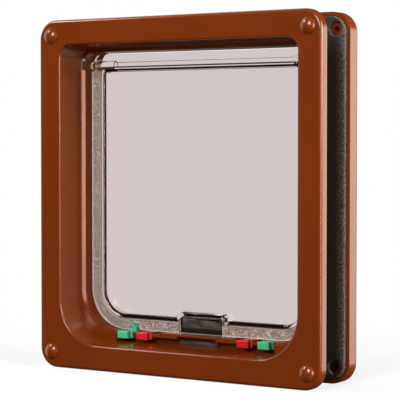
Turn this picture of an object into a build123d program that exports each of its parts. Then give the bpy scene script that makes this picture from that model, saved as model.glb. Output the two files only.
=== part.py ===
from build123d import *

# Cat flap for a house door: an indoor frame with a stepped tunnel, an outdoor frame that
# clamps the door from the other side, a clear flap hung in the tunnel and four lock sliders.
# X runs to the right seen from indoors, Y through the door towards outdoors, Z up.
# The origin is the middle of the doorway, in the plane where the indoor flange meets the door.

# Both frames, in millimetres
FRAME_WIDTH = 234.0
FRAME_HEIGHT = 251.0
FRAME_CORNER_R = 14.0
FLANGE_THICKNESS = 7.0
FLANGE_SKIN = 3.0
FLANGE_RIM = 3.0
FLANGE_EDGE_R = 2.5
RIB = 2.0
RIB_PITCH = 40.0
DOOR_THICKNESS = 32.0

# Doorway and stepped tunnel of the indoor frame
DOORWAY_WIDTH = 197.0
DOORWAY_HEIGHT = 215.0
DOORWAY_TOP_R = 9.0
DOORWAY_BOTTOM_R = 32.0
DOORWAY_EDGE_R = 1.5
TUNNEL_WALL = 2.5
TAPER_TOP = 2.2
TAPER_SIDE = 0.6
TAPER_BOTTOM = 1.2
STEP_DEPTH = 18.0
STEP_SIDE = 3.0
STEP_TOP = 4.5
STEP_BOTTOM = 8.7
STEP_CHAMFER = 2.0
TUNNEL_LENGTH = 42.0

# Ledge below the flap, with the slot that the lock sliders hook into
LEDGE_DEPTH = 22.0
LEDGE_THICKNESS = 3.3
SLOT_DEPTH = 6.5
KEEPER_WINDOW_WIDTH = 32.0
KEEPER_WINDOW_LIP = 1.6
KEEPER_HEIGHT = 2.9
KEEPER_DEPTH = 3.0

# Screw fixings: counterbored holes indoors under domed caps, blind bosses outdoors
SCREW_INSET_X = 10.7
SCREW_INSET_Z = 11.5
SCREW_HOLE_R = 2.3
SCREW_BOSS_R = 6.0
CAP_RECESS_R = 4.6
CAP_RECESS_DEPTH = 2.4
CAP_R = 5.6
CAP_HEIGHT = 2.9
CAP_RIM = 0.5
CAP_FIT = 0.1

# Outdoor frame and its foam seal
REAR_DEPTH = 12.0
REAR_LIP = 2.7
REAR_EDGE_R = 3.0
REAR_SKIN = 2.5
REAR_WALL = 4.0
REAR_FIT = 0.4
FOAM_RECESS = 5.0
FOAM_THICKNESS = 4.0
FOAM_FIT = 0.3
PILOT_R = 1.9
PILOT_DEPTH = 8.5
REAR_BOSS_R = 4.4

# Flap: a flat flange round a dished pane with a raised rim, with a hinge bar and pins
FLAP_FRONT = 30.0
FLAP_THICKNESS = 2.2
FLAP_SIDE_GAP = 1.0
FLAP_TOP_GAP = 1.2
PANE_MARGIN_SIDE = 10.1
PANE_MARGIN_BOTTOM = 5.5
PANE_TOP_DROP = 4.4
PANE_DISH = 5.0
PANE_CORNER_R = 18.0
PANE_TOP_R = 2.0
PANE_BACK_R = 1.8
PANE_TAB_WIDTH = 35.2
PANE_TAB_RISE = 4.2
PANE_RIM_WIDTH = 3.0
PANE_RIM_HEIGHT = 1.5
PANE_RIM_R = 1.4
HINGE_DROP = 9.5
HINGE_BAR_R = 2.65
HINGE_BARREL_R = 3.6
HINGE_BARREL_LENGTH = 19.0
HINGE_PIN_R = 3.0
HINGE_PIN_FIT = 0.25
HINGE_GROOVE = 1.7
HINGE_END_GAP = 0.4

# Pile strips along the sides and foot of the flap
STRIP_WIDTH = 7.2
STRIP_THICKNESS = 2.5
STRIP_GAP = 0.4
STRIP_INNER_R = 1.0

# Magnet in its holder at the foot of the flap
HOLDER_WIDTH = 36.0
HOLDER_DROP = 4.8
HOLDER_PROUD = 1.0
HOLDER_DEPTH = 5.5
HOLDER_CORNER = 1.5
HOLDER_EDGE = 0.5
HOLDER_WALL = 1.6
HOLDER_SOLE = 3.2
MAGNET_HEIGHT = 7.2
MAGNET_DEPTH = 4.0
MAGNET_EDGE = 0.4
FIT = 0.1

# Lock sliders
KNOB_INSET = 7.3
KNOB_PITCH = 16.9
SLIDER_TRAVEL = 6.0
KNOB_WIDTH = 9.0
KNOB_REACH = 7.0
KNOB_HEIGHT = 5.4
KNOB_RISE = 0.4
KNOB_EDGE_R = 0.9
WAIST_R = 2.3
WAIST_BITE = 1.3
ARM_THICKNESS = 0.8
ARM_LENGTH = 9.0
TONGUE_THICKNESS = 1.6
TONGUE_LENGTH = 5.5
SLIDER_GAP = 0.3
FINGER_WIDTH = 4.4
FINGER_DEPTH = 2.7
FINGER_HEIGHT = 4.7
FINGER_LEAD = 4.0
FINGER_GAP = 0.6
FINGER_SLOPE = 1.8
FINGER_CLEAR = 0.8
CATCH_WIDTH = 5.0
CATCH_HEIGHT = 4.6
CATCH_LAP = 2.4
CATCH_LAP_THICKNESS = 1.5

# Worked out from the sizes above
front_y = -FLANGE_THICKNESS
doorway_top = DOORWAY_HEIGHT / 2
doorway_bottom = -DOORWAY_HEIGHT / 2
liner_width = DOORWAY_WIDTH - 2 * STEP_SIDE
liner_top = doorway_top - STEP_TOP
liner_bottom = doorway_bottom + STEP_BOTTOM
liner_top_r = DOORWAY_TOP_R - STEP_SIDE
liner_bottom_r = DOORWAY_BOTTOM_R - STEP_SIDE
floor_z = doorway_bottom + TAPER_BOTTOM
ledge_under = liner_bottom - LEDGE_THICKNESS
slot_back = LEDGE_DEPTH + SLOT_DEPTH
slot_width = DOORWAY_WIDTH - 2 * DOORWAY_BOTTOM_R
screw_x = FRAME_WIDTH / 2 - SCREW_INSET_X
screw_z = FRAME_HEIGHT / 2 - SCREW_INSET_Z
rear_y = DOOR_THICKNESS
foam_back = rear_y + FOAM_RECESS
hinge_y = FLAP_FRONT + FLAP_THICKNESS / 2
hinge_z = liner_top - HINGE_DROP
flap_width = liner_width - 2 * FLAP_SIDE_GAP
hinge_bar_length = flap_width - 2 * HINGE_BARREL_LENGTH
flap_top = liner_top - FLAP_TOP_GAP
flap_bottom_r = liner_bottom_r - FLAP_SIDE_GAP
strip_front = FLAP_FRONT - STRIP_THICKNESS
arm_top = liner_bottom - FIT
way_floor = arm_top - ARM_THICKNESS - SLIDER_GAP
green_x = slot_width / 2 - KNOB_INSET
red_x = green_x - KNOB_PITCH
way_outer = green_x + KNOB_WIDTH / 2 + 2 * SLIDER_GAP
way_inner = red_x - KNOB_WIDTH / 2 - SLIDER_TRAVEL - 2 * SLIDER_GAP
knob_front = LEDGE_DEPTH - KNOB_REACH
knob_back = LEDGE_DEPTH - SLIDER_GAP
knob_top = arm_top + KNOB_RISE
finger_x = -green_x + FINGER_LEAD
finger_top = arm_top + FINGER_HEIGHT
flap_bottom = finger_top + FINGER_CLEAR

screw_spots = {
    "top_left": (-screw_x, screw_z),
    "top_right": (screw_x, screw_z),
    "bottom_left": (-screw_x, -screw_z),
    "bottom_right": (screw_x, -screw_z),
}
# Where each slider stands when open; to lock, its knob is pushed towards the middle
sliders = {
    "green_slider_left": -green_x,
    "red_slider_left": -red_x,
    "red_slider_right": red_x,
    "green_slider_right": green_x,
}


def door_plane(y):
    """Plane across the doorway at depth y; extruding by a negative amount goes outdoors."""
    return Plane.XZ.offset(-y)


def doorway(width, top, bottom, top_r, bottom_r):
    """Outline of an opening with small radii above and large ones below."""
    with BuildSketch() as outline:
        with Locations((0, (top + bottom) / 2)):
            Rectangle(width, top - bottom)
        fillet(outline.vertices().group_by(Axis.Y)[-1], top_r)
        fillet(outline.vertices().group_by(Axis.Y)[0], bottom_r)
    return outline.sketch


def grown(margin, width, top, bottom, top_r, bottom_r):
    """The same opening outline, larger all round by a margin."""
    return doorway(width + 2 * margin, top + margin, bottom - margin, top_r + margin, bottom_r + margin)


def rib_pattern():
    """Ribs that cross the hollow back of a flange, upright and level."""
    rib_columns = int((DOORWAY_WIDTH - 2 * DOORWAY_BOTTOM_R) / RIB_PITCH) + 1
    rib_rows = int((DOORWAY_HEIGHT - 2 * DOORWAY_BOTTOM_R) / RIB_PITCH) + 1
    with BuildSketch() as ribs:
        with GridLocations(RIB_PITCH, 1, rib_columns, 1):
            Rectangle(RIB, FRAME_HEIGHT)
        with GridLocations(1, RIB_PITCH, 1, rib_rows):
            Rectangle(FRAME_WIDTH, RIB)
    return ribs.sketch


with BuildSketch() as frame_blank:
    RectangleRounded(FRAME_WIDTH, FRAME_HEIGHT, FRAME_CORNER_R)

doorway_sizes = (DOORWAY_WIDTH, doorway_top, doorway_bottom, DOORWAY_TOP_R, DOORWAY_BOTTOM_R)
liner_sizes = (liner_width, liner_top, liner_bottom, liner_top_r, liner_bottom_r)
doorway_outline = doorway(*doorway_sizes)
step_outline = doorway(
    DOORWAY_WIDTH - 2 * TAPER_SIDE,
    doorway_top - TAPER_TOP,
    floor_z,
    DOORWAY_TOP_R,
    DOORWAY_BOTTOM_R,
)
tunnel_outline = grown(TUNNEL_WALL, *doorway_sizes)
liner_outline = doorway(*liner_sizes)
liner_skin_outline = grown(TUNNEL_WALL, *liner_sizes)
rear_opening_outline = grown(TUNNEL_WALL + REAR_FIT, *liner_sizes)
foam_opening_outline = grown(TUNNEL_WALL + REAR_FIT + FOAM_FIT, *liner_sizes)
rear_wall_outline = grown(TUNNEL_WALL + REAR_FIT + REAR_WALL, *liner_sizes)
ribs_outline = rib_pattern()

# Indoor frame: flange, stepped tunnel and ledge in one moulding
with BuildPart() as front_frame:
    with BuildSketch(door_plane(front_y)):
        add(frame_blank.sketch)
    extrude(amount=-FLANGE_THICKNESS)
    flange_face = front_frame.faces().sort_by(Axis.Y)[0]
    fillet(flange_face.edges(), FLANGE_EDGE_R)
    # hollow back of the flange, with its ribs and screw bosses left standing
    with BuildSketch(door_plane(0)):
        add(frame_blank.sketch)
        offset(amount=-FLANGE_RIM)
        add(tunnel_outline, mode=Mode.SUBTRACT)
        add(ribs_outline, mode=Mode.SUBTRACT)
        with Locations(*screw_spots.values()):
            Circle(SCREW_BOSS_R, mode=Mode.SUBTRACT)
    extrude(amount=FLANGE_THICKNESS - FLANGE_SKIN, mode=Mode.SUBTRACT)
    # tunnel, liner behind the step and the box under the ledge
    with BuildSketch(door_plane(0)):
        add(tunnel_outline)
    extrude(amount=-(STEP_DEPTH + TUNNEL_WALL))
    with BuildSketch(door_plane(STEP_DEPTH)):
        add(liner_skin_outline)
    extrude(amount=-(TUNNEL_LENGTH - STEP_DEPTH))
    with BuildSketch(door_plane(STEP_DEPTH)):
        with Locations((0, doorway_bottom - TUNNEL_WALL)):
            Rectangle(
                slot_width + 2 * TUNNEL_WALL,
                STEP_BOTTOM + TUNNEL_WALL,
                align=(Align.CENTER, Align.MIN),
            )
    extrude(amount=-(slot_back + TUNNEL_WALL - STEP_DEPTH))
    # the way through, tapered as far as the step and narrower behind it
    with BuildSketch(door_plane(front_y)):
        add(doorway_outline)
    with BuildSketch(door_plane(STEP_DEPTH)):
        add(step_outline)
    loft(mode=Mode.SUBTRACT)
    with BuildSketch(door_plane(STEP_DEPTH)):
        add(liner_outline)
    extrude(amount=-(TUNNEL_LENGTH - STEP_DEPTH), mode=Mode.SUBTRACT)
    doorway_rim = front_frame.faces().sort_by(Axis.Y)[0].inner_wires()[0]
    fillet(doorway_rim.edges(), DOORWAY_EDGE_R)
    step_face = front_frame.faces().filter_by(
        lambda f: f.geom_type == GeomType.PLANE and abs(f.center().Y - STEP_DEPTH) < 0.01
    )[0]
    chamfer(step_face.inner_wires()[0].edges(), STEP_CHAMFER)
    # ledge set back behind the step, with the slot under it
    with BuildSketch(door_plane(STEP_DEPTH)):
        with Locations((0, floor_z)):
            Rectangle(slot_width, 2 * STEP_BOTTOM, align=(Align.CENTER, Align.MIN))
    extrude(amount=-(LEDGE_DEPTH - STEP_DEPTH), mode=Mode.SUBTRACT)
    with BuildSketch(door_plane(LEDGE_DEPTH)):
        with Locations((0, floor_z)):
            Rectangle(slot_width, ledge_under - floor_z, align=(Align.CENTER, Align.MIN))
            Rectangle(
                KEEPER_WINDOW_WIDTH,
                liner_bottom - KEEPER_WINDOW_LIP - floor_z,
                align=(Align.CENTER, Align.MIN),
            )
    extrude(amount=-SLOT_DEPTH, mode=Mode.SUBTRACT)
    # a shallow way in the top of the ledge, each side, for the arms of two sliders
    for side in (-1, 1):
        with BuildSketch(door_plane(LEDGE_DEPTH)):
            with Locations((side * (way_inner + way_outer) / 2, way_floor)):
                Rectangle(
                    way_outer - way_inner,
                    2 * (liner_bottom - way_floor),
                    align=(Align.CENTER, Align.MIN),
                )
        extrude(amount=-(ARM_LENGTH + SLIDER_GAP), mode=Mode.SUBTRACT)
    # grooves that the hinge pins slide into from indoors
    for side in (-1, 1):
        with BuildSketch(Plane.YZ.offset(side * liner_width / 2)):
            with Locations((hinge_y, hinge_z)):
                Circle(HINGE_PIN_R + HINGE_PIN_FIT)
                Rectangle(
                    hinge_y - STEP_DEPTH,
                    2 * (HINGE_PIN_R + HINGE_PIN_FIT),
                    align=(Align.MAX, Align.CENTER),
                )
        extrude(amount=side * HINGE_GROOVE, mode=Mode.SUBTRACT)
    # screw holes with the recess that the caps press into
    with Locations(door_plane(front_y)):
        with Locations(*screw_spots.values()):
            CounterBoreHole(SCREW_HOLE_R, CAP_RECESS_R, CAP_RECESS_DEPTH, FLANGE_THICKNESS)
front_frame.part.label = "front_frame"
export_step(front_frame.part, "parts/front_frame.step")

# Domed caps over the four screw holes
cap_arc_height = CAP_HEIGHT - CAP_RIM
cap_dome_r = (CAP_R**2 + cap_arc_height**2) / (2 * cap_arc_height)
for place, (cap_x, cap_z) in screw_spots.items():
    with BuildPart() as screw_cap:
        with BuildSketch(Plane((cap_x, front_y, cap_z))):
            with BuildLine():
                dome = RadiusArc((CAP_R, -CAP_RIM), (0, -CAP_HEIGHT), cap_dome_r)
                Polyline(
                    dome @ 1,
                    (0, CAP_RECESS_DEPTH - CAP_FIT),
                    (CAP_RECESS_R - CAP_FIT, CAP_RECESS_DEPTH - CAP_FIT),
                    (CAP_RECESS_R - CAP_FIT, 0),
                    (CAP_R, 0),
                    dome @ 0,
                )
            make_face()
        revolve(axis=Axis((cap_x, front_y, cap_z), (0, 1, 0)))
    screw_cap.part.label = f"screw_cap_{place}"
    export_step(screw_cap.part, f"parts/screw_cap_{place}.step")

# Magnet that the flap's own magnet settles on, seated in the window under the ledge
with BuildPart() as keeper_magnet:
    with BuildSketch(door_plane(slot_back - KEEPER_DEPTH)):
        with Locations((0, floor_z)):
            Rectangle(
                KEEPER_WINDOW_WIDTH - 2 * SLIDER_GAP,
                KEEPER_HEIGHT,
                align=(Align.CENTER, Align.MIN),
            )
    extrude(amount=-KEEPER_DEPTH)
    chamfer(keeper_magnet.edges().filter_by(Axis.X), MAGNET_EDGE)
keeper_magnet.part.label = "keeper_magnet"
export_step(keeper_magnet.part, "parts/keeper_magnet.step")

# Outdoor frame: a rim round a foam recess, hollow behind the foam, with four screw bosses
with BuildPart() as rear_frame:
    with BuildSketch(door_plane(rear_y)):
        add(frame_blank.sketch)
    extrude(amount=-REAR_DEPTH)
    fillet(rear_frame.faces().sort_by(Axis.Y)[-1].edges(), REAR_EDGE_R)
    with BuildSketch(door_plane(rear_y)):
        add(frame_blank.sketch)
        offset(amount=-REAR_LIP)
    extrude(amount=-FOAM_RECESS, mode=Mode.SUBTRACT)
    with BuildSketch(door_plane(foam_back)):
        add(frame_blank.sketch)
        offset(amount=-(REAR_LIP + REAR_WALL))
        add(rear_wall_outline, mode=Mode.SUBTRACT)
        add(ribs_outline, mode=Mode.SUBTRACT)
        with Locations(*screw_spots.values()):
            Circle(REAR_BOSS_R, mode=Mode.SUBTRACT)
    extrude(amount=-(REAR_DEPTH - FOAM_RECESS - REAR_SKIN), mode=Mode.SUBTRACT)
    with BuildSketch(door_plane(foam_back)):
        with Locations(*screw_spots.values()):
            Circle(REAR_BOSS_R)
    extrude(amount=FOAM_THICKNESS)
    with BuildSketch(door_plane(rear_y)):
        add(rear_opening_outline)
    extrude(amount=-REAR_DEPTH, mode=Mode.SUBTRACT)
    back_rim = rear_frame.faces().sort_by(Axis.Y)[-1].inner_wires()[0]
    fillet(back_rim.edges(), DOORWAY_EDGE_R)
    with BuildSketch(door_plane(foam_back - FOAM_THICKNESS)):
        with Locations(*screw_spots.values()):
            Circle(PILOT_R)
    extrude(amount=-PILOT_DEPTH, mode=Mode.SUBTRACT)
rear_frame.part.label = "rear_frame"
export_step(rear_frame.part, "parts/rear_frame.step")

# Foam seal in the outdoor frame
with BuildPart() as foam_seal:
    with BuildSketch(door_plane(foam_back)):
        add(frame_blank.sketch)
        offset(amount=-(REAR_LIP + FOAM_FIT))
        add(foam_opening_outline, mode=Mode.SUBTRACT)
        with Locations(*screw_spots.values()):
            Circle(REAR_BOSS_R + FOAM_FIT, mode=Mode.SUBTRACT)
    extrude(amount=FOAM_THICKNESS)
foam_seal.part.label = "foam_seal"
export_step(foam_seal.part, "parts/foam_seal.step")

# Flap moulding: flange, rim, dished pane, hinge bar and pins
pane_half = flap_width / 2 - PANE_MARGIN_SIDE
pane_bottom = flap_bottom + PANE_MARGIN_BOTTOM
tab_top = pane_bottom + PANE_TAB_RISE
rim_front = FLAP_FRONT - PANE_RIM_HEIGHT
pane_back = FLAP_FRONT + PANE_DISH + FLAP_THICKNESS
with BuildSketch() as pane_shape:
    add(doorway(2 * pane_half, hinge_z - PANE_TOP_DROP, pane_bottom, PANE_TOP_R, PANE_CORNER_R))
    # the pane steps up over the magnet, with slanted shoulders
    with BuildLine():
        Polyline(
            (-PANE_TAB_WIDTH / 2 - PANE_TAB_RISE, pane_bottom),
            (-PANE_TAB_WIDTH / 2, tab_top),
            (PANE_TAB_WIDTH / 2, tab_top),
            (PANE_TAB_WIDTH / 2 + PANE_TAB_RISE, pane_bottom),
            close=True,
        )
    make_face(mode=Mode.SUBTRACT)
holder_cut_half = HOLDER_WIDTH / 2 + FIT
holder_cut_top = tab_top - PANE_RIM_WIDTH - FIT
with BuildPart() as flap_panel:
    with BuildSketch(door_plane(FLAP_FRONT)):
        add(doorway(flap_width, flap_top, flap_bottom, liner_top_r, flap_bottom_r))
    extrude(amount=-FLAP_THICKNESS)
    with BuildSketch(door_plane(FLAP_FRONT)):
        add(pane_shape.sketch)
        offset(amount=FLAP_THICKNESS, kind=Kind.INTERSECTION)
    extrude(amount=-(pane_back - FLAP_FRONT))
    fillet(flap_panel.faces().sort_by(Axis.Y)[-1].edges(), PANE_BACK_R)
    with BuildSketch(door_plane(FLAP_FRONT)):
        add(pane_shape.sketch)
        offset(amount=PANE_RIM_WIDTH, kind=Kind.INTERSECTION)
    extrude(amount=PANE_RIM_HEIGHT)
    fillet(flap_panel.faces().sort_by(Axis.Y)[0].edges(), PANE_RIM_R)
    with BuildSketch(door_plane(rim_front)):
        add(pane_shape.sketch)
    extrude(amount=-(PANE_RIM_HEIGHT + PANE_DISH), mode=Mode.SUBTRACT)
    fillet(flap_panel.faces().sort_by(Axis.Y)[0].inner_wires()[0].edges(), PANE_RIM_R)
    # hinge bar across the head, thicker barrels at its ends and the pins
    with BuildSketch(Plane.YZ):
        with Locations((hinge_y, hinge_z)):
            Circle(HINGE_BAR_R)
    extrude(amount=hinge_bar_length / 2, both=True)
    for side in (-1, 1):
        with BuildSketch(Plane.YZ.offset(side * hinge_bar_length / 2)):
            with Locations((hinge_y, hinge_z)):
                Circle(HINGE_BARREL_R)
        extrude(amount=side * HINGE_BARREL_LENGTH)
        with BuildSketch(Plane.YZ.offset(side * flap_width / 2)):
            with Locations((hinge_y, hinge_z)):
                Circle(HINGE_PIN_R)
        extrude(amount=side * (FLAP_SIDE_GAP + HINGE_GROOVE - HINGE_END_GAP))
    # opening for the magnet holder
    with BuildSketch(door_plane(rim_front)):
        with Locations((0, flap_bottom)):
            Rectangle(
                2 * holder_cut_half,
                holder_cut_top - flap_bottom,
                align=(Align.CENTER, Align.MIN),
            )
    extrude(amount=-(pane_back - rim_front), mode=Mode.SUBTRACT)
flap_panel.part.label = "flap_panel"
export_step(flap_panel.part, "parts/flap_panel.step")

# Pile strips on the front of the flap's flange, one each side, from hinge to magnet holder;
# they hang below the flange to brush the ledge, with a gap where the lock finger stands
strip_sizes = (
    liner_width - 2 * STRIP_GAP,
    liner_top - STRIP_GAP,
    liner_bottom + STRIP_GAP,
    liner_top_r,
    liner_bottom_r - STRIP_GAP,
)
strip_top = hinge_z - HINGE_BARREL_R - STRIP_GAP
strip_length = strip_top - strip_sizes[2]
for side, name in ((-1, "pile_strip_left"), (1, "pile_strip_right")):
    with BuildPart() as pile_strip:
        with BuildSketch(door_plane(FLAP_FRONT)):
            add(doorway(*strip_sizes))
            add(
                grown(-STRIP_WIDTH, *strip_sizes[:3], STRIP_WIDTH + STRIP_INNER_R, strip_sizes[4]),
                mode=Mode.SUBTRACT,
            )
            with Locations((side * (holder_cut_half + STRIP_GAP), strip_sizes[2])):
                Rectangle(
                    strip_sizes[0] / 2,
                    strip_length,
                    align=(Align.MIN if side > 0 else Align.MAX, Align.MIN),
                    mode=Mode.INTERSECT,
                )
            with Locations((finger_x, strip_sizes[2])):
                Rectangle(
                    FINGER_WIDTH + 2 * FINGER_CLEAR,
                    flap_bottom - strip_sizes[2],
                    align=(Align.CENTER, Align.MIN),
                    mode=Mode.SUBTRACT,
                )
        extrude(amount=STRIP_THICKNESS)
    pile_strip.part.label = name
    export_step(pile_strip.part, f"parts/{name}.step")

# Magnet holder: a block through the foot of the flap, under the step in the pane's rim
holder_front = FLAP_FRONT - HOLDER_PROUD
holder_foot = flap_bottom - HOLDER_DROP
holder_top = holder_cut_top - FIT
pocket_width = HOLDER_WIDTH - 2 * HOLDER_WALL
pocket_foot = holder_foot + HOLDER_SOLE
with BuildPart() as magnet_holder:
    with BuildSketch(door_plane(holder_front)):
        with Locations((0, holder_foot)):
            Rectangle(HOLDER_WIDTH, holder_top - holder_foot, align=(Align.CENTER, Align.MIN))
    extrude(amount=-HOLDER_DEPTH)
    chamfer(magnet_holder.edges().filter_by(Axis.Y).group_by(Axis.Z)[-1], HOLDER_CORNER)
    chamfer(magnet_holder.faces().sort_by(Axis.Y)[0].edges(), HOLDER_EDGE)
    with BuildSketch(door_plane(holder_front)):
        with Locations((0, pocket_foot)):
            Rectangle(pocket_width, MAGNET_HEIGHT, align=(Align.CENTER, Align.MIN))
    extrude(amount=-MAGNET_DEPTH, mode=Mode.SUBTRACT)
magnet_holder.part.label = "magnet_holder"
export_step(magnet_holder.part, "parts/magnet_holder.step")

with BuildPart() as flap_magnet:
    with BuildSketch(door_plane(holder_front + MAGNET_DEPTH)):
        with Locations((0, pocket_foot + FIT)):
            Rectangle(
                pocket_width - 2 * FIT,
                MAGNET_HEIGHT - 2 * FIT,
                align=(Align.CENTER, Align.MIN),
            )
    extrude(amount=MAGNET_DEPTH - FIT)
    chamfer(flap_magnet.faces().sort_by(Axis.Y)[0].edges(), MAGNET_EDGE)
flap_magnet.part.label = "flap_magnet"
export_step(flap_magnet.part, "parts/flap_magnet.step")

# Catch lapped onto the flap's foot: the lock finger stands before it once its knob is pushed in
catch_top = flap_bottom - FIT
lap_front = FLAP_FRONT + FLAP_THICKNESS + FIT
with BuildPart() as lock_catch:
    with BuildSketch(Plane.YZ.offset(finger_x + SLIDER_TRAVEL)):
        with BuildLine():
            Polyline(
                (FLAP_FRONT, catch_top),
                (FLAP_FRONT, catch_top - CATCH_HEIGHT),
                (lap_front + CATCH_LAP_THICKNESS, catch_top - CATCH_HEIGHT),
                (lap_front + CATCH_LAP_THICKNESS, flap_bottom + CATCH_LAP),
                (lap_front, flap_bottom + CATCH_LAP),
                (lap_front, catch_top),
                close=True,
            )
        make_face()
    extrude(amount=CATCH_WIDTH / 2, both=True)
lock_catch.part.label = "lock_catch"
export_step(lock_catch.part, "parts/lock_catch.step")

# Lock sliders: a knob in front of the ledge, an arm over it and a tongue under it
arm_under = arm_top - ARM_THICKNESS
tongue_top = ledge_under - SLIDER_GAP
tongue_under = tongue_top - TONGUE_THICKNESS
arm_end = LEDGE_DEPTH + ARM_LENGTH
for name, slider_x in sliders.items():
    with BuildPart() as slider:
        with BuildSketch(Plane.YZ.offset(slider_x - KNOB_WIDTH / 2)):
            with BuildLine():
                Polyline(
                    (knob_front, knob_top),
                    (knob_back, knob_top),
                    (knob_back, arm_top),
                    (arm_end, arm_top),
                    (arm_end, arm_under),
                    (knob_back, arm_under),
                    (knob_back, tongue_top),
                    (LEDGE_DEPTH + TONGUE_LENGTH, tongue_top),
                    (LEDGE_DEPTH + TONGUE_LENGTH, tongue_under),
                    (knob_back, tongue_under),
                    (knob_back, knob_top - KNOB_HEIGHT),
                    (knob_front, knob_top - KNOB_HEIGHT),
                    close=True,
                )
            make_face()
        extrude(amount=KNOB_WIDTH)
        fillet(slider.faces().sort_by(Axis.Y)[0].edges(), KNOB_EDGE_R)
        # finger grips, a hollow down each side of the knob
        with BuildSketch(Plane.XY.offset(knob_top)):
            with Locations((slider_x, knob_back - WAIST_R)):
                with GridLocations(KNOB_WIDTH + 2 * (WAIST_R - WAIST_BITE), 1, 2, 1):
                    Circle(WAIST_R)
        extrude(amount=-KNOB_HEIGHT, mode=Mode.SUBTRACT)
        if name == "green_slider_left":
            # upright lock finger that stops the flap swinging indoors
            with BuildSketch(Plane.XY.offset(arm_under)):
                with Locations((finger_x, strip_front - FINGER_GAP)):
                    Rectangle(FINGER_WIDTH, FINGER_DEPTH, align=(Align.CENTER, Align.MAX))
            extrude(amount=finger_top - arm_under)
            finger_tip = slider.faces().sort_by(Axis.Z)[-1]
            chamfer(finger_tip.edges().sort_by(Axis.X)[-1], FINGER_SLOPE)
    slider.part.label = name
    export_step(slider.part, f"parts/{name}.step")
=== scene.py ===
# %% [markdown]
# A cat flap for a house door, dressed for the camera. The rigid shapes come from the imported CAD
# model, which is loaded first and never moved. This script gives each piece its real surface, and
# models again what a CAD solid can only stand for: the brushed pile, the foam and the soft edges
# of the small mouldings. The box of the CAD model is kept; it is printed and sets the floor.

# %% load the imported frame
import math
import random

import bmesh
import bpy
from mathutils import Matrix, Vector, noise


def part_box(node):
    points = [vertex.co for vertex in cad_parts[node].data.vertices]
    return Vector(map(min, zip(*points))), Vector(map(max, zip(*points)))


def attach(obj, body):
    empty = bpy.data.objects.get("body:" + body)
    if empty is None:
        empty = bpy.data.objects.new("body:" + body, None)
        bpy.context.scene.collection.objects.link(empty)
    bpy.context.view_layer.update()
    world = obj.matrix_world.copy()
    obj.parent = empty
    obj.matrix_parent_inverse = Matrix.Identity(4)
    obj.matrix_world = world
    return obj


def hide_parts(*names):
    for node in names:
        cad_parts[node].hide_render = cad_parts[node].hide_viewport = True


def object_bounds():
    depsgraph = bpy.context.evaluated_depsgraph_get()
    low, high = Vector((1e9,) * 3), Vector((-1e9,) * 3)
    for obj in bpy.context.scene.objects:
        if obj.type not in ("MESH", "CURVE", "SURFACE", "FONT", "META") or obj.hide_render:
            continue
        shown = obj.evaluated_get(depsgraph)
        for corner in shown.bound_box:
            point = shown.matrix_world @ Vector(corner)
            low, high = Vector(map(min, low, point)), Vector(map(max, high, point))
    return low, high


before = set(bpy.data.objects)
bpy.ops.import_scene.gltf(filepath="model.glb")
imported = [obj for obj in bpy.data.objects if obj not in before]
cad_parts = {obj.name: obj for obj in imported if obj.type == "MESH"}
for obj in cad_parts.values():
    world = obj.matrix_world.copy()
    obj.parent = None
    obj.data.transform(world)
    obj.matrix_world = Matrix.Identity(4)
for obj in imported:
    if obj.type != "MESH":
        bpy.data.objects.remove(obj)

MM = 0.001
cad_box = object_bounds()


def in_mm(corner):
    """A place in metres as rounded millimetres, for printing."""
    return [round(c / MM, 1) for c in corner]


print("nodes", len(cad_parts), "CAD box in mm", [in_mm(corner) for corner in cad_box])

# %% [markdown]
# Colours are written as sRGB hex, the way they would be read off a sample, and a shader wants
# linear light, so one function turns them. One more adds a node, sets its sockets and links it:
# that is all a node tree is, and it keeps each material below to a few readable lines.


# %% helpers for colours and nodes
def paint(hex_code):
    """sRGB hex to linear RGBA."""
    steps = [int(hex_code[i:i + 2], 16) / 255 for i in (1, 3, 5)]
    return (*[s / 12.92 if s <= 0.04045 else ((s + 0.055) / 1.055) ** 2.4 for s in steps], 1.0)


def add(tree, kind, settings=None, links=None):
    """Adds one node; settings are properties or sockets, links feed its sockets."""
    node = tree.nodes.new(kind)
    for key, value in (settings or {}).items():
        if isinstance(key, int) or key in node.inputs:
            node.inputs[key].default_value = value
        else:
            setattr(node, key, value)
    for key, source in (links or {}).items():
        tree.links.new(source, node.inputs[key])
    return node


def finish_named(name, **sockets):
    """A new material with one Principled shader and the constants set on its own sockets."""
    material = bpy.data.materials.new(name)
    material.use_nodes = True
    material.node_tree.nodes.clear()
    shader = add(material.node_tree, "ShaderNodeBsdfPrincipled", sockets)
    add(material.node_tree, "ShaderNodeOutputMaterial", links={"Surface": shader.outputs["BSDF"]})
    return material, material.node_tree, shader


def per_metre(size_mm):
    """Texture scale for a pattern whose features are this many millimetres across."""
    return 1 / (size_mm * MM)


print("brown as linear light", [round(c, 4) for c in paint("#7d3206")])

# %% [markdown]
# The two frames and the screw caps are injection-moulded ABS, polished in the mould, and so are
# the lock knobs, a little duller. Such plastic has a clear gloss that varies slowly, over about
# 30 mm, a faint orange peel where it cooled against the steel, and edges that are never quite
# sharp. The Bevel node rounds the shading of every edge by about a third of a millimetre, which is
# cheaper than cutting the rounding into a big mesh. The peel is drawn at 3 mm, a little coarser
# than life, so that it can bend a reflection at this picture size.


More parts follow.
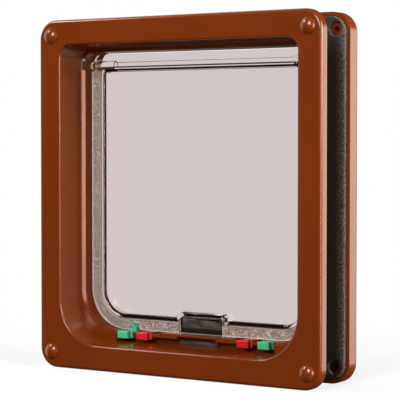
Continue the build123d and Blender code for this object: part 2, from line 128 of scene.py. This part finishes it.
# %% moulded ABS for frames, caps and knobs
def moulded_abs(name, colour, deeper, gloss, edge_mm):
    """Glossy moulded plastic of one colour, slightly deeper where the melt flowed slower."""
    material, tree, shader = finish_named(name, **{"IOR": 1.5})
    place = add(tree, "ShaderNodeTexCoord").outputs["Object"]
    flow = add(tree, "ShaderNodeTexNoise", {"Scale": per_metre(70), "Detail": 2.0}, {"Vector": place})
    shade = add(tree, "ShaderNodeValToRGB", links={"Fac": flow.outputs["Fac"]})
    shade.color_ramp.elements[0].color = paint(deeper)
    shade.color_ramp.elements[0].position = 0.3
    shade.color_ramp.elements[1].color = paint(colour)
    shade.color_ramp.elements[1].position = 0.7
    tree.links.new(shade.outputs["Color"], shader.inputs["Base Color"])
    haze = add(tree, "ShaderNodeTexNoise", {"Scale": per_metre(30), "Detail": 1.0}, {"Vector": place})
    polish = add(tree, "ShaderNodeMapRange",
                 {"From Min": 0.3, "From Max": 0.7, "To Min": gloss - 0.02, "To Max": gloss + 0.03},
                 {"Value": haze.outputs["Fac"]})
    tree.links.new(polish.outputs["Result"], shader.inputs["Roughness"])
    soft_edge = add(tree, "ShaderNodeBevel", {"Radius": edge_mm * MM, "samples": 4})
    peel = add(tree, "ShaderNodeTexNoise", {"Scale": per_metre(3), "Detail": 1.0}, {"Vector": place})
    bump = add(tree, "ShaderNodeBump", {"Strength": 0.03, "Distance": 0.05 * MM},
               {"Height": peel.outputs["Fac"], "Normal": soft_edge.outputs["Normal"]})
    tree.links.new(bump.outputs["Normal"], shader.inputs["Normal"])
    return material


brown_abs = moulded_abs("brown_moulded_abs", "#7d3206", "#762f05", gloss=0.17, edge_mm=0.35)
green_abs = moulded_abs("green_moulded_abs", "#48cb90", "#41c086", gloss=0.24, edge_mm=0.25)
red_abs = moulded_abs("red_moulded_abs", "#dc1f2b", "#d21c27", gloss=0.24, edge_mm=0.25)
print("moulded plastics", brown_abs.name, green_abs.name, red_abs.name)

# %% [markdown]
# The flap is one clear moulding of polycarbonate with a faint warm smoke in it. Light that passes
# straight through is dimmed to about two thirds, and the thick rim bends it, which draws the dark
# and brown lines round the pane. A true transmission shader on a closed solid gives both, so
# nothing is painted on. Hands leave faint smears of about 25 mm, which are in the roughness.

# %% clear smoked polycarbonate
smoked_clear, clear_tree, clear_shader = finish_named(
    "smoked_polycarbonate",
    **{"Base Color": paint("#dacece"), "IOR": 1.5, "Transmission Weight": 1.0})
clear_place = add(clear_tree, "ShaderNodeTexCoord").outputs["Object"]
handling = add(clear_tree, "ShaderNodeTexNoise", {"Scale": per_metre(25), "Detail": 3.0},
               {"Vector": clear_place})
smear = add(clear_tree, "ShaderNodeMapRange",
            {"From Min": 0.45, "From Max": 0.75, "To Min": 0.0, "To Max": 0.05},
            {"Value": handling.outputs["Fac"]})
clear_tree.links.new(smear.outputs["Result"], clear_shader.inputs["Roughness"])
print("clear plastic", smoked_clear.name)

# %% [markdown]
# The block round the magnet and the small catch are the same family of plastic, so dark that no
# light comes through. The melt left faint flow lines in them, which are a shallow bump of 6 mm.

# %% dark smoked polycarbonate
dark_smoked, dark_tree, dark_shader = finish_named(
    "dark_smoked_polycarbonate",
    **{"Base Color": paint("#25160e"), "IOR": 1.55, "Roughness": 0.16})
dark_place = add(dark_tree, "ShaderNodeTexCoord").outputs["Object"]
flow_lines = add(dark_tree, "ShaderNodeTexNoise", {"Scale": per_metre(6), "Detail": 2.0},
                 {"Vector": dark_place})
flow_bump = add(dark_tree, "ShaderNodeBump", {"Strength": 0.1, "Distance": 0.1 * MM},
                {"Height": flow_lines.outputs["Fac"]})
dark_tree.links.new(flow_bump.outputs["Normal"], dark_shader.inputs["Normal"])
print("dark plastic", dark_smoked.name)

# %% [markdown]
# The magnets are sintered ferrite: a pressed ceramic, dark grey with a faint sheen, blotched
# where the press and the grinding left their marks. Blotches of a few millimetres, stretched
# along the bar, carry the look, and where the colour is paler the surface is rougher too.

# %% ferrite
ferrite, ferrite_tree, ferrite_shader = finish_named("sintered_ferrite", **{"IOR": 1.8})
ferrite_place = add(ferrite_tree, "ShaderNodeTexCoord").outputs["Object"]
along_bar = add(ferrite_tree, "ShaderNodeMapping", {"Scale": (0.35, 1.0, 1.0)}, {"Vector": ferrite_place})
blotch = add(ferrite_tree, "ShaderNodeTexNoise",
             {"Scale": per_metre(2.4), "Detail": 3.0, "Distortion": 0.6},
             {"Vector": along_bar.outputs["Vector"]})
grey = add(ferrite_tree, "ShaderNodeValToRGB", links={"Fac": blotch.outputs["Fac"]})
grey.color_ramp.elements[0].color = paint("#221a17")
grey.color_ramp.elements[0].position = 0.36
grey.color_ramp.elements[1].color = paint("#574944")
grey.color_ramp.elements[1].position = 0.66
ground = add(ferrite_tree, "ShaderNodeMapRange", {"To Min": 0.3, "To Max": 0.6},
             {"Value": blotch.outputs["Fac"]})
ferrite_tree.links.new(grey.outputs["Color"], ferrite_shader.inputs["Base Color"])
ferrite_tree.links.new(ground.outputs["Result"], ferrite_shader.inputs["Roughness"])
print("magnets", ferrite.name)

# %% [markdown]
# The seal is closed-cell foam, black and matt, with cells of about half a millimetre; they are
# drawn at 0.9 mm so that they show. On the sides of the ring the knife tore the cells, and pale
# specks there show their broken skins and are also a painted highlight of those sides. Along the
# left and right outer edges the pale specks are only a painted highlight.

# %% foam
black_foam, foam_tree, foam_shader = finish_named(
    "closed_cell_foam", **{"Roughness": 0.92, "Specular IOR Level": 0.3})
foam_place = add(foam_tree, "ShaderNodeTexCoord").outputs["Object"]
cells = add(foam_tree, "ShaderNodeTexVoronoi", {"Scale": per_metre(0.9)}, {"Vector": foam_place})
cell_shade = add(foam_tree, "ShaderNodeValToRGB", links={"Fac": cells.outputs["Distance"]})
cell_shade.color_ramp.elements[0].color = paint("#242420")
cell_shade.color_ramp.elements[1].color = paint("#31312d")
cell_bump = add(foam_tree, "ShaderNodeBump", {"Strength": 0.8, "Distance": 0.4 * MM},
                {"Height": cells.outputs["Distance"]})
surface = add(foam_tree, "ShaderNodeNewGeometry")
cut_face = add(foam_tree, "ShaderNodeSeparateXYZ", links={"Vector": surface.outputs["Normal"]})
turned = add(foam_tree, "ShaderNodeMath", {"operation": "ABSOLUTE"}, {0: cut_face.outputs["Y"]})
# Sides of the ring: torn cells, and also a painted highlight where those sides catch the light.
torn_and_lit_sides = add(foam_tree, "ShaderNodeMapRange", {"From Min": 0.95, "From Max": 0.6},
           {"Value": turned.outputs["Value"]})
across = add(foam_tree, "ShaderNodeSeparateXYZ", links={"Vector": foam_place})
sideways = add(foam_tree, "ShaderNodeMath", {"operation": "ABSOLUTE"}, {0: across.outputs["X"]})
foam_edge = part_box("foam_seal")[1].x
# Painted highlight: a pale band of specks along the left and right outer edges of the foam.
painted_edge_highlight = add(foam_tree, "ShaderNodeMapRange",
             {"From Min": foam_edge - 7 * MM, "From Max": foam_edge - 1 * MM, "To Max": 0.8},
             {"Value": sideways.outputs["Value"]})
torn_cells_and_highlight = add(foam_tree, "ShaderNodeMath", {"operation": "MAXIMUM"},
           {0: torn_and_lit_sides.outputs["Result"], 1: painted_edge_highlight.outputs["Result"]})
grain = add(foam_tree, "ShaderNodeTexNoise", {"Scale": per_metre(0.7), "Detail": 1.0},
            {"Vector": foam_place})
specks = add(foam_tree, "ShaderNodeMapRange", {"From Min": 0.42, "From Max": 0.6},
             {"Value": grain.outputs["Fac"]})
# Pale specks where the cells are torn and where the painted highlight lies.
speck_and_highlight_share = add(foam_tree, "ShaderNodeMath", {"operation": "MULTIPLY"},
                  {0: torn_cells_and_highlight.outputs["Value"], 1: specks.outputs["Result"]})
foam_colour = add(foam_tree, "ShaderNodeMix", {"data_type": "RGBA", 7: paint("#7d7772")},
                  {0: speck_and_highlight_share.outputs["Value"], 6: cell_shade.outputs["Color"]})
foam_tree.links.new(foam_colour.outputs[2], foam_shader.inputs["Base Color"])
foam_tree.links.new(cell_bump.outputs["Normal"], foam_shader.inputs["Normal"])
print("foam", black_foam.name, "outer edge in mm", round(foam_edge / MM, 1))

# %% [markdown]
# The draught strip is polypropylene pile woven onto a tape: short grey fibres in rows. A fibre is
# darker at its root, where its neighbours shade it, and pale at its tip, and no two have quite the
# same tone. Depth along Y gives root and tip, because the strips lie flat. A noise gives the
# tones; it is drawn at 0.8 mm, coarser than the fibres, so that it shows.

# %% brushed pile
grey_pile, pile_tree, pile_shader = finish_named(
    "polypropylene_pile",
    **{"Roughness": 0.6, "Specular IOR Level": 0.3, "Sheen Weight": 0.4, "Sheen Roughness": 0.5})
pile_place = add(pile_tree, "ShaderNodeTexCoord").outputs["Object"]
depth = add(pile_tree, "ShaderNodeSeparateXYZ", links={"Vector": pile_place})
strip_low, strip_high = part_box("pile_strip_left")
tip = add(pile_tree, "ShaderNodeMapRange",
          {"From Min": strip_high.y, "From Max": strip_low.y, "To Max": 0.45},
          {"Value": depth.outputs["Y"]})
tone = add(pile_tree, "ShaderNodeTexNoise", {"Scale": per_metre(0.8), "Detail": 2.0},
           {"Vector": pile_place})
blend_tone = add(pile_tree, "ShaderNodeMath", {"operation": "MULTIPLY_ADD", 1: 0.9},
                 {0: tone.outputs["Fac"], 2: tip.outputs["Result"]})
fibre = add(pile_tree, "ShaderNodeValToRGB", links={"Fac": blend_tone.outputs["Value"]})
fibre.color_ramp.elements[0].color = paint("#bba89c")
fibre.color_ramp.elements[0].position = 0.4
fibre.color_ramp.elements[1].color = paint("#f8ebe3")
fibre.color_ramp.elements[1].position = 1.0
pile_tree.links.new(fibre.outputs["Color"], pile_shader.inputs["Base Color"])
print("pile", grey_pile.name, "strip depth in mm", round((strip_high.y - strip_low.y) / MM, 2))

# %% [markdown]
# The strips are stuck to the flap with tan acrylic tape. Seen through clear plastic, such tape is
# paler where small air bubbles are caught under it; they are drawn as blotches of 4 mm.

# %% acrylic tape
acrylic_tape, tape_tree, tape_shader = finish_named("acrylic_tape", **{"Roughness": 0.55})
tape_place = add(tape_tree, "ShaderNodeTexCoord").outputs["Object"]
bubbles = add(tape_tree, "ShaderNodeTexNoise", {"Scale": per_metre(4), "Detail": 2.0},
              {"Vector": tape_place})
stuck = add(tape_tree, "ShaderNodeValToRGB", links={"Fac": bubbles.outputs["Fac"]})
stuck.color_ramp.elements[0].color = paint("#98806f")
stuck.color_ramp.elements[0].position = 0.35
stuck.color_ramp.elements[1].color = paint("#b29582")
stuck.color_ramp.elements[1].position = 0.65
tape_tree.links.new(stuck.outputs["Color"], tape_shader.inputs["Base Color"])
print("tape", acrylic_tape.name)

# %% [markdown]
# The CAD shapes of both frames and the four caps are right as they are, with their fillets, so
# those nodes stay and only take the brown finish.

# %% brown finish on the frames and caps
brown_nodes = ["front_frame", "rear_frame"] + [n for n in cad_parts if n.startswith("screw_cap")]
for node in brown_nodes:
    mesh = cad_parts[node].data
    mesh.materials.clear()
    mesh.materials.append(brown_abs)
print("brown nodes", brown_nodes)

# %% [markdown]
# The other pieces start from a copy of their node. A node's mesh is loose triangles, so the copy
# has them merged, and its flat areas are made whole again. A finished piece rides on a body and
# stands for its node, which is hidden, and one function does both.


# %% helpers for copied nodes
def merged_copy(node, flat_degrees=0.6):
    """A bmesh of the node's shape with its triangles joined and its flat areas whole."""
    bm = bmesh.new()
    bm.from_mesh(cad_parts[node].data)
    bmesh.ops.remove_doubles(bm, verts=bm.verts, dist=0.002 * MM)
    if flat_degrees:
        bmesh.ops.dissolve_limit(bm, angle_limit=math.radians(flat_degrees), verts=bm.verts, edges=bm.edges)
    return bm


def round_edges(bm, width_mm, turn):
    """Bevels each edge that turns by more than so many degrees, and says how many there are."""
    sharp = [e for e in bm.edges if e.is_manifold and e.calc_face_angle() > math.radians(turn)]
    bmesh.ops.bevel(bm, geom=sharp, offset=width_mm * MM, offset_type="OFFSET", affect="EDGES",
                    segments=2, profile=0.5, material=-1, clamp_overlap=True)
    return len(sharp)


def mesh_from(bm, name):
    """A mesh of the bmesh's shape; the bmesh is used up."""
    mesh = bpy.data.meshes.new(name)
    bm.to_mesh(mesh)
    bm.free()
    return mesh


def held_inside(point, low, high):
    """The point, moved to the nearest place inside a box."""
    return [min(max(p, lo), hi) for p, lo, hi in zip(point, low, high)]


def keep(bm, name, body, slot, material, *nodes):
    """Makes the finished piece from its bmesh; it rides a body and stands for CAD nodes."""
    mesh = mesh_from(bm, name)
    mesh.materials.append(material)
    piece = bpy.data.objects.new(name, mesh)
    bpy.context.scene.collection.objects.link(piece)
    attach(piece, body)
    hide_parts(*nodes)
    return piece


# %% [markdown]
# The small mouldings and the magnets have sharp edges in CAD, and a sharp edge catches no light.
# Each copy gets a small bevel along every edge that turns by more than 25 degrees, and a weighted
# normal keeps its flats flat.


# %% small mouldings and magnets
def softened(node, body, slot, material, edge_mm):
    """The node's shape with a small bevel along its sharp edges."""
    bm = merged_copy(node)
    count = round_edges(bm, edge_mm, turn=25)
    for face in bm.faces:
        face.smooth = True
    piece = keep(bm, node + "_soft", body, slot, material, node)
    flats = piece.modifiers.new("flats", "WEIGHTED_NORMAL")
    flats.keep_sharp = False
    print(node, "edges softened", count, "faces", len(piece.data.polygons))


softened("magnet_holder", "flap", "dark_smoked", dark_smoked, edge_mm=0.35)
softened("lock_catch", "flap", "dark_smoked", dark_smoked, edge_mm=0.25)
softened("flap_magnet", "flap", "ferrite", ferrite, edge_mm=0.2)
softened("keeper_magnet", "frame", "ferrite", ferrite, edge_mm=0.2)
softened("green_slider_left", "green_left", "green_plastic", green_abs, edge_mm=0.25)
softened("green_slider_right", "green_right", "green_plastic", green_abs, edge_mm=0.25)
softened("red_slider_left", "red_left", "red_plastic", red_abs, edge_mm=0.25)
softened("red_slider_right", "red_right", "red_plastic", red_abs, edge_mm=0.25)

# %% [markdown]
# The flap's own edges are already rounded in CAD, so its copy is only joined up and smoothed, with
# the edges that turn by more than 30 degrees left crisp. The tape shows as a thin line beside the
# pile, and from outdoors through the flange, so the front of the flange takes the tape's finish
# below the hinge.

# %% clear flap
flap_bm = merged_copy("flap_panel", flat_degrees=0)
for edge in flap_bm.edges:
    edge.smooth = edge.is_manifold and edge.calc_face_angle() < math.radians(30)
tape_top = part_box("flap_panel")[1].z - 14 * MM
taped = 0
for face in flap_bm.faces:
    face.smooth = True
    middle = face.calc_center_median()
    behind_strip = face.normal.y < -0.99 and abs(middle.y - strip_high.y) < 0.05 * MM
    if behind_strip and middle.z < tape_top:
        face.material_index = 1
        taped += 1
flap = keep(flap_bm, "flap_panel_clear", "flap", "smoked_clear", smoked_clear, "flap_panel")
flap.data.materials.append(acrylic_tape)
print("flap faces", len(flap.data.polygons), "under tape", taped)

# %% [markdown]
# The foam ring is die-cut from sheet, so its edges are slightly rounded by the knife and its face
# is never flat. With no door behind it, it swells a little proud of the frame's rim. The copy is
# stretched by that much, gets a bevel and is remeshed into even cells of about a millimetre.

# %% foam seal, swollen and cut
foam_low, foam_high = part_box("foam_seal")
rim_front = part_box("rear_frame")[0].y
proud = 1.6 * MM
foam_front = rim_front - proud
swell = (foam_high.y - rim_front + proud) / (foam_high.y - foam_low.y)
foam_bm = merged_copy("foam_seal")
bmesh.ops.scale(foam_bm, vec=(1, swell, 1), verts=foam_bm.verts,
                space=Matrix.Translation((0, -foam_high.y, 0)))
cut_edges = round_edges(foam_bm, 1.5, turn=60)
foam = keep(foam_bm, "foam_seal_cut", "frame", "black_foam", black_foam, "foam_seal")
remesh = foam.modifiers.new("cells", "REMESH")
remesh.mode = "VOXEL"
remesh.voxel_size = 1.1 * MM
remesh.use_smooth_shade = True
even = bpy.data.meshes.new_from_object(foam.evaluated_get(bpy.context.evaluated_depsgraph_get()))
foam.modifiers.clear()
foam.data = even
if not even.materials:
    even.materials.append(black_foam)
print("foam swells by", round(swell, 2), "edges cut", cut_edges, "points", len(even.vertices))

# %% [markdown]
# Cut foam is uneven. Each point moves by up to a sixth of a millimetre along its normal, with a
# slow wave and a fine grain. The normals are read before any point moves, and no point leaves the
# box of the swollen ring.

# %% foam seal, uneven
slow_wave = 14 * MM
fine_grain = 1.6 * MM
unevenness = 0.09 * MM
outward = [vertex.normal.copy() for vertex in even.vertices]
for vertex, normal in zip(even.vertices, outward):
    wave = noise.noise(vertex.co / slow_wave) + 0.8 * noise.noise(vertex.co / fine_grain)
    moved = vertex.co + normal * wave * unevenness
    vertex.co = held_inside(moved, (foam_low.x, foam_front, foam_low.z), foam_high)
print("foam faces", len(even.polygons))

# %% [markdown]
# Each pile strip is a tape with a raised woven edge and tufts standing between its edges. A tuft
# is five slim cones that lean apart; it is modelled once, and copies are set over the tape.

# %% one tuft
strip_depth = strip_high.y - strip_low.y
pile_height = strip_depth * 0.6
tape_depth = strip_depth * 0.4
most_lean = 0.25
most_step_mm = 0.35
tuft_bm = bmesh.new()
tuft_random = random.Random(3)
rise = Matrix.Translation((0, 0, pile_height / 2))
for _ in range(5):
    lean_x = Matrix.Rotation(tuft_random.uniform(-most_lean, most_lean), 4, "X")
    lean_y = Matrix.Rotation(tuft_random.uniform(-most_lean, most_lean), 4, "Y")
    step_x = tuft_random.uniform(-most_step_mm, most_step_mm) * MM
    step_y = tuft_random.uniform(-most_step_mm, most_step_mm) * MM
    fibre_length = pile_height * tuft_random.uniform(0.85, 1.0)
    foot = Matrix.Translation((step_x, step_y, 0))
    bmesh.ops.create_cone(tuft_bm, cap_ends=False, segments=3, radius1=0.14 * MM, radius2=0.06 * MM,
                          depth=fibre_length, matrix=foot @ (lean_x @ lean_y) @ rise)
tuft = mesh_from(tuft_bm, "tuft")
print("tuft faces", len(tuft.polygons), "height in mm", round(pile_height / MM, 2))

# %% [markdown]
# The tufts are set at random over the tape, as many to a triangle as its area asks for, and turned
# and tilted. The seeds are fixed, so every run grows the same pile. The tufts stop inside the CAD
# strip. They are joined a hundred at a time, which is quicker than one by one. The left strip also
# gets a patch of pile behind the lock finger, in the notch that the finger passes.


# %% pile strips
def tuft_field(spots, chance):
    """A mesh of tufts, one standing on each spot."""
    field = bmesh.new()
    upright = Matrix.Rotation(math.radians(90), 4, "X")
    for spot in spots:
        turn = Matrix.Rotation(chance.uniform(0, math.tau), 4, "Z")
        tilt = Matrix.Rotation(chance.gauss(0, 0.1), 4, "Y")
        place = Matrix.Translation(spot) @ upright @ tilt @ turn
        tuft.transform(place)
        field.from_mesh(tuft)
        tuft.transform(place.inverted())
    return mesh_from(field, "tuft_field")


def add_patch(bm, left, right, foot, head):
    """A bare piece of tape, from its left, right, foot and head in millimetres."""
    middle = Vector(((left + right) / 2 * MM, strip_high.y - tape_depth / 2, (foot + head) / 2 * MM))
    size = Matrix.Diagonal(((right - left) * MM, tape_depth, (head - foot) * MM, 1))
    bmesh.ops.create_cube(bm, size=1, matrix=Matrix.Translation(middle) @ size)


def pile_strip(node, seed, patches=(), tufts_per_mm2=2.0, edge_mm=0.6, batch=100):
    """A tape with a raised edge and tufts scattered inside it, also over its patches."""
    chance = random.Random(seed)
    bm = merged_copy(node)
    for patch in patches:
        add_patch(bm, *patch)
    front = [f for f in bm.faces if f.normal.y < -0.9]
    raised = [f for f in front if f.calc_center_median().y < strip_low.y + 0.1 * MM]
    bmesh.ops.inset_region(bm, faces=raised, thickness=edge_mm * MM, use_even_offset=True,
                           use_boundary=True)
    bmesh.ops.translate(bm, vec=(0, pile_height, 0), verts=list({v for f in raised for v in f.verts}))
    tape = bmesh.ops.triangulate(bm, faces=front)["faces"]
    corners = [[v.co.copy() for v in f.verts] for f in tape]
    areas = [f.calc_area() for f in tape]
    tufts = int(sum(areas) / MM**2 * tufts_per_mm2)
    spots = []
    for a, b, c in chance.choices(corners, weights=areas, k=tufts):
        near, far = sorted((chance.random(), chance.random()))
        spots.append(a * near + b * (far - near) + c * (1 - far))
    for start in range(0, tufts, batch):
        bm.from_mesh(tuft_field(spots[start:start + batch], chance))
    low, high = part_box(node)
    for vertex in bm.verts:
        vertex.co = held_inside(vertex.co, low, high)
    piece = keep(bm, node + "_brushed", "flap", "grey_pile", grey_pile, node)
    print(node, "tufts", tufts, "faces", len(piece.data.polygons))


finger_notch = (-58.3, -52.3, -98.2, -93.5)
pile_strip("pile_strip_left", seed=11, patches=[finger_notch])
pile_strip("pile_strip_right", seed=12)

# %% [markdown]
# The light is a small studio with its window at the right. What lights the object, and what its
# gloss mirrors, is a strong warm glow low at the right and behind, a weak one at the left, and a
# dim room elsewhere. So the right-hand sides shine and the front keeps its deep colour. The glow
# is brighter than white, so it is written as linear light. A glow is measured by the cosine of the
# angle from its middle. The strong one is kept to a low band, so that the faces at the top and
# the back don't mirror it from above.

# %% light of the room
world = bpy.data.worlds.new("studio")
bpy.context.scene.world = world
world.use_nodes = True
studio = world.node_tree
studio.nodes.clear()
sky = add(studio, "ShaderNodeTexCoord").outputs["Generated"]
heading = add(studio, "ShaderNodeSeparateXYZ", links={"Vector": sky})


def glow(towards, edge, middle, strength):
    """Share of a glow: none at the cosine of its edge, all its strength towards its middle."""
    facing = add(studio, "ShaderNodeVectorMath", {"operation": "DOT_PRODUCT", 1: towards}, {0: sky})
    share = add(studio, "ShaderNodeMapRange",
                {"interpolation_type": "SMOOTHSTEP", "From Min": edge, "From Max": middle,
                 "To Max": strength},
                {"Value": facing.outputs["Value"]})
    return share.outputs["Result"]


right_glow = glow(towards=(0.83, 0.54, 0.13), edge=0.7, middle=0.93, strength=1.0)
left_glow = glow(towards=(-0.93, 0.2, 0.3), edge=0.6, middle=0.9, strength=0.35)
steepness = add(studio, "ShaderNodeMath", {"operation": "ABSOLUTE"}, {0: heading.outputs["Z"]})
low_band = add(studio, "ShaderNodeMapRange",
               {"interpolation_type": "SMOOTHSTEP", "From Min": 0.3, "From Max": 0.12},
               {"Value": steepness.outputs["Value"]})
low_glow = add(studio, "ShaderNodeMath", {"operation": "MULTIPLY"},
               {0: right_glow, 1: low_band.outputs["Result"]})
both_sides = add(studio, "ShaderNodeMath", {"operation": "MAXIMUM"},
                 {0: low_glow.outputs["Value"], 1: left_glow})
dim_room = (0.06, 0.06, 0.06, 1)
window_light = (4.2, 4.1, 3.4, 1)
side_light = add(studio, "ShaderNodeMix", {"data_type": "RGBA", 6: dim_room, 7: window_light},
                 {0: both_sides.outputs["Value"]})
print("world", world.name, "window as linear light", window_light[:3])

# %% [markdown]
# What a surface mirrors through the pane is another part of the room: pale at the right, where it
# puts a sheen on the tunnel's left wall, and dark brown at the left, where it keeps the ceiling of
# the tunnel dark and draws brown lines in the rim.

# %% room behind the pane
path = add(studio, "ShaderNodeLightPath")
rightward = add(studio, "ShaderNodeMapRange", {"From Min": -0.3, "From Max": 0.5},
                {"Value": heading.outputs["X"]})
beyond = add(studio, "ShaderNodeMix", {"data_type": "RGBA", 6: paint("#2a140a"), 7: paint("#e1d4a2")},
             {0: rightward.outputs["Result"]})
room = add(studio, "ShaderNodeMix", {"data_type": "RGBA"},
           {0: path.outputs["Is Transmission Ray"], 6: side_light.outputs[2], 7: beyond.outputs[2]})
room_glow = add(studio, "ShaderNodeBackground", {"Strength": 1.0}, {"Color": room.outputs[2]})
print("nodes in the world so far", len(studio.nodes))

# %% [markdown]
# A straight look, one that has met no other surface than the clear flap, sees the backdrop. To the
# camera it is plain white. Through the pane it is white where the look is level or goes down, and
# a dim brown where it goes up or down steeply. The thick rim and the hinge bar bend light that
# far, which draws their dark lines.

# %% backdrop
level = add(studio, "ShaderNodeMapRange", {"From Min": -1.0, "From Max": 1.0},
            {"Value": heading.outputs["Z"]})
wall = add(studio, "ShaderNodeValToRGB", links={"Fac": level.outputs["Result"]})
dim_wall = paint("#54392b")
white_wall = paint("#ffffff")
wall.color_ramp.elements[0].position = 0.2
wall.color_ramp.elements[0].color = dim_wall
wall.color_ramp.elements[1].position = 0.6
wall.color_ramp.elements[1].color = dim_wall
for white_from in (0.275, 0.575):
    wall.color_ramp.elements.new(white_from).color = white_wall
wall_colour = add(studio, "ShaderNodeMix", {"data_type": "RGBA", 7: white_wall},
                  {0: path.outputs["Is Camera Ray"], 6: wall.outputs["Color"]})
wall_glow = add(studio, "ShaderNodeBackground", {"Strength": 1.0}, {"Color": wall_colour.outputs[2]})
bounces = add(studio, "ShaderNodeMath", {"operation": "ADD"},
              {0: path.outputs["Glossy Depth"], 1: path.outputs["Diffuse Depth"]})
straight = add(studio, "ShaderNodeMath", {"operation": "LESS_THAN", 1: 0.5}, {0: bounces.outputs["Value"]})
surround = add(studio, "ShaderNodeMixShader",
               links={0: straight.outputs["Value"], 1: room_glow.outputs["Background"],
                      2: wall_glow.outputs["Background"]})
add(studio, "ShaderNodeOutputWorld", links={"Surface": surround.outputs["Shader"]})
print("backdrop stops", [round(stop.position, 3) for stop in wall.color_ramp.elements])

# %% [markdown]
# Four lamps join the room: an upright soft box in front and above, which lights the front and
# shows in the middle of the domed caps; one at the front right, warm and for gloss only, which the
# chamfer of the tunnel's step and the rounded edge of the flange mirror to the camera; a window at
# the right, nearly in line with the flange, which lights the sides and the front half of the
# tunnel's left wall, and little behind its step; and a small lamp high on the left, which puts the
# sharp glint on the caps. All of them point at the middle of the object.


# %% lamps
def soft_box(name, place, width, height, watts):
    """A rectangular area lamp at a place in metres, turned towards the object."""
    light = bpy.data.lights.new(name, "AREA")
    light.shape = "RECTANGLE"
    light.size = width
    light.size_y = height
    light.energy = watts
    lamp = bpy.data.objects.new(name, light)
    lamp.location = place
    lamp.rotation_mode = "QUATERNION"
    lamp.rotation_quaternion = (-Vector(place)).to_track_quat("-Z", "Y")
    bpy.context.scene.collection.objects.link(lamp)
    print(name, watts, "W at", place)
    return lamp


soft_box("front_box", place=(0.3, -1.42, 0.74), width=0.5, height=0.7, watts=20)
gloss_box = soft_box("front_right_box", place=(1.04, -0.68, 0.1), width=0.3, height=0.7, watts=9.5)
gloss_box.visible_diffuse = False
gloss_box.data.color = paint("#ffd9c7")[:3]
soft_box("right_window", place=(1.3, -0.09, 0.45), width=0.36, height=0.8, watts=20.5)
soft_box("left_glint", place=(-0.95, -0.62, 0.92), width=0.2, height=0.3, watts=6)

# %% [markdown]
# The floor is a pale disc under both frames. It is hidden from reflections and gives no bounce
# light, because its white would wash out the lower flange and the ceiling of the tunnel.

# %% floor
floor_bm = bmesh.new()
bmesh.ops.create_circle(floor_bm, cap_ends=True, segments=96, radius=0.5,
                        matrix=Matrix.Translation((0, 0.02, cad_box[0].z - 0.1 * MM)))
floor_mesh = mesh_from(floor_bm, "floor")
floor = bpy.data.objects.new("floor", floor_mesh)
bpy.context.scene.collection.objects.link(floor)
floor.visible_glossy = False
floor.visible_diffuse = False
print("floor at", round(floor_mesh.vertices[0].co.z / MM, 2), "mm")

# %% [markdown]
# The floor is white paper. Seen by the camera it is nearly the white of the backdrop, with a
# quarter of its real shade left in near the middle, so that a soft shadow stays under the object,
# and it fades to plain white at its rim.

# %% white paper
paper = bpy.data.materials.new("white_paper")
paper.use_nodes = True
sheet = paper.node_tree
sheet.nodes.clear()
matt = add(sheet, "ShaderNodeBsdfDiffuse", {"Color": paint("#f2f2f2")})
white = add(sheet, "ShaderNodeEmission", {"Color": white_wall, "Strength": 1.0})
floor_place = add(sheet, "ShaderNodeTexCoord").outputs["Object"]
from_middle = add(sheet, "ShaderNodeVectorMath", {"operation": "LENGTH"}, {0: floor_place})
fade = add(sheet, "ShaderNodeMapRange",
           {"interpolation_type": "SMOOTHSTEP", "From Min": 0.16, "From Max": 0.42,
            "To Min": 0.75, "To Max": 1.0},
           {"Value": from_middle.outputs["Value"]})
eye = add(sheet, "ShaderNodeLightPath")
seen = add(sheet, "ShaderNodeMath", {"operation": "MAXIMUM"},
           {0: eye.outputs["Is Camera Ray"], 1: eye.outputs["Is Transmission Ray"]})
white_share = add(sheet, "ShaderNodeMath", {"operation": "MULTIPLY"},
                  {0: seen.outputs["Value"], 1: fade.outputs["Result"]})
mixed = add(sheet, "ShaderNodeMixShader",
            links={0: white_share.outputs["Value"], 1: matt.outputs["BSDF"], 2: white.outputs["Emission"]})
add(sheet, "ShaderNodeOutputMaterial", links={"Surface": mixed.outputs["Shader"]})
floor_mesh.materials.append(paper)
print("floor finish", paper.name)

# %% [markdown]
# The camera stands indoors, a little over a metre away, to the right of the doorway and just
# above its middle, with a long lens, as in the photograph.

# %% camera
azimuth = math.radians(33.25)
elevation = math.radians(2.15)
distance = 1.135
looked_at = Vector((22.5, -7.0, -1.5)) * MM
back = Vector((math.sin(azimuth) * math.cos(elevation), -math.cos(azimuth) * math.cos(elevation),
               math.sin(elevation)))
lens = bpy.data.cameras.new("camera")
lens.sensor_width = 36.0
lens.lens = 149.94
camera = bpy.data.objects.new("camera", lens)
camera.location = looked_at + back * distance
camera.rotation_mode = "QUATERNION"
camera.rotation_quaternion = (-back).to_track_quat("-Z", "Y")
bpy.context.scene.collection.objects.link(camera)
bpy.context.scene.camera = camera
bpy.context.scene.view_settings.view_transform = "Standard"
print("camera at", [round(c, 3) for c in camera.location])
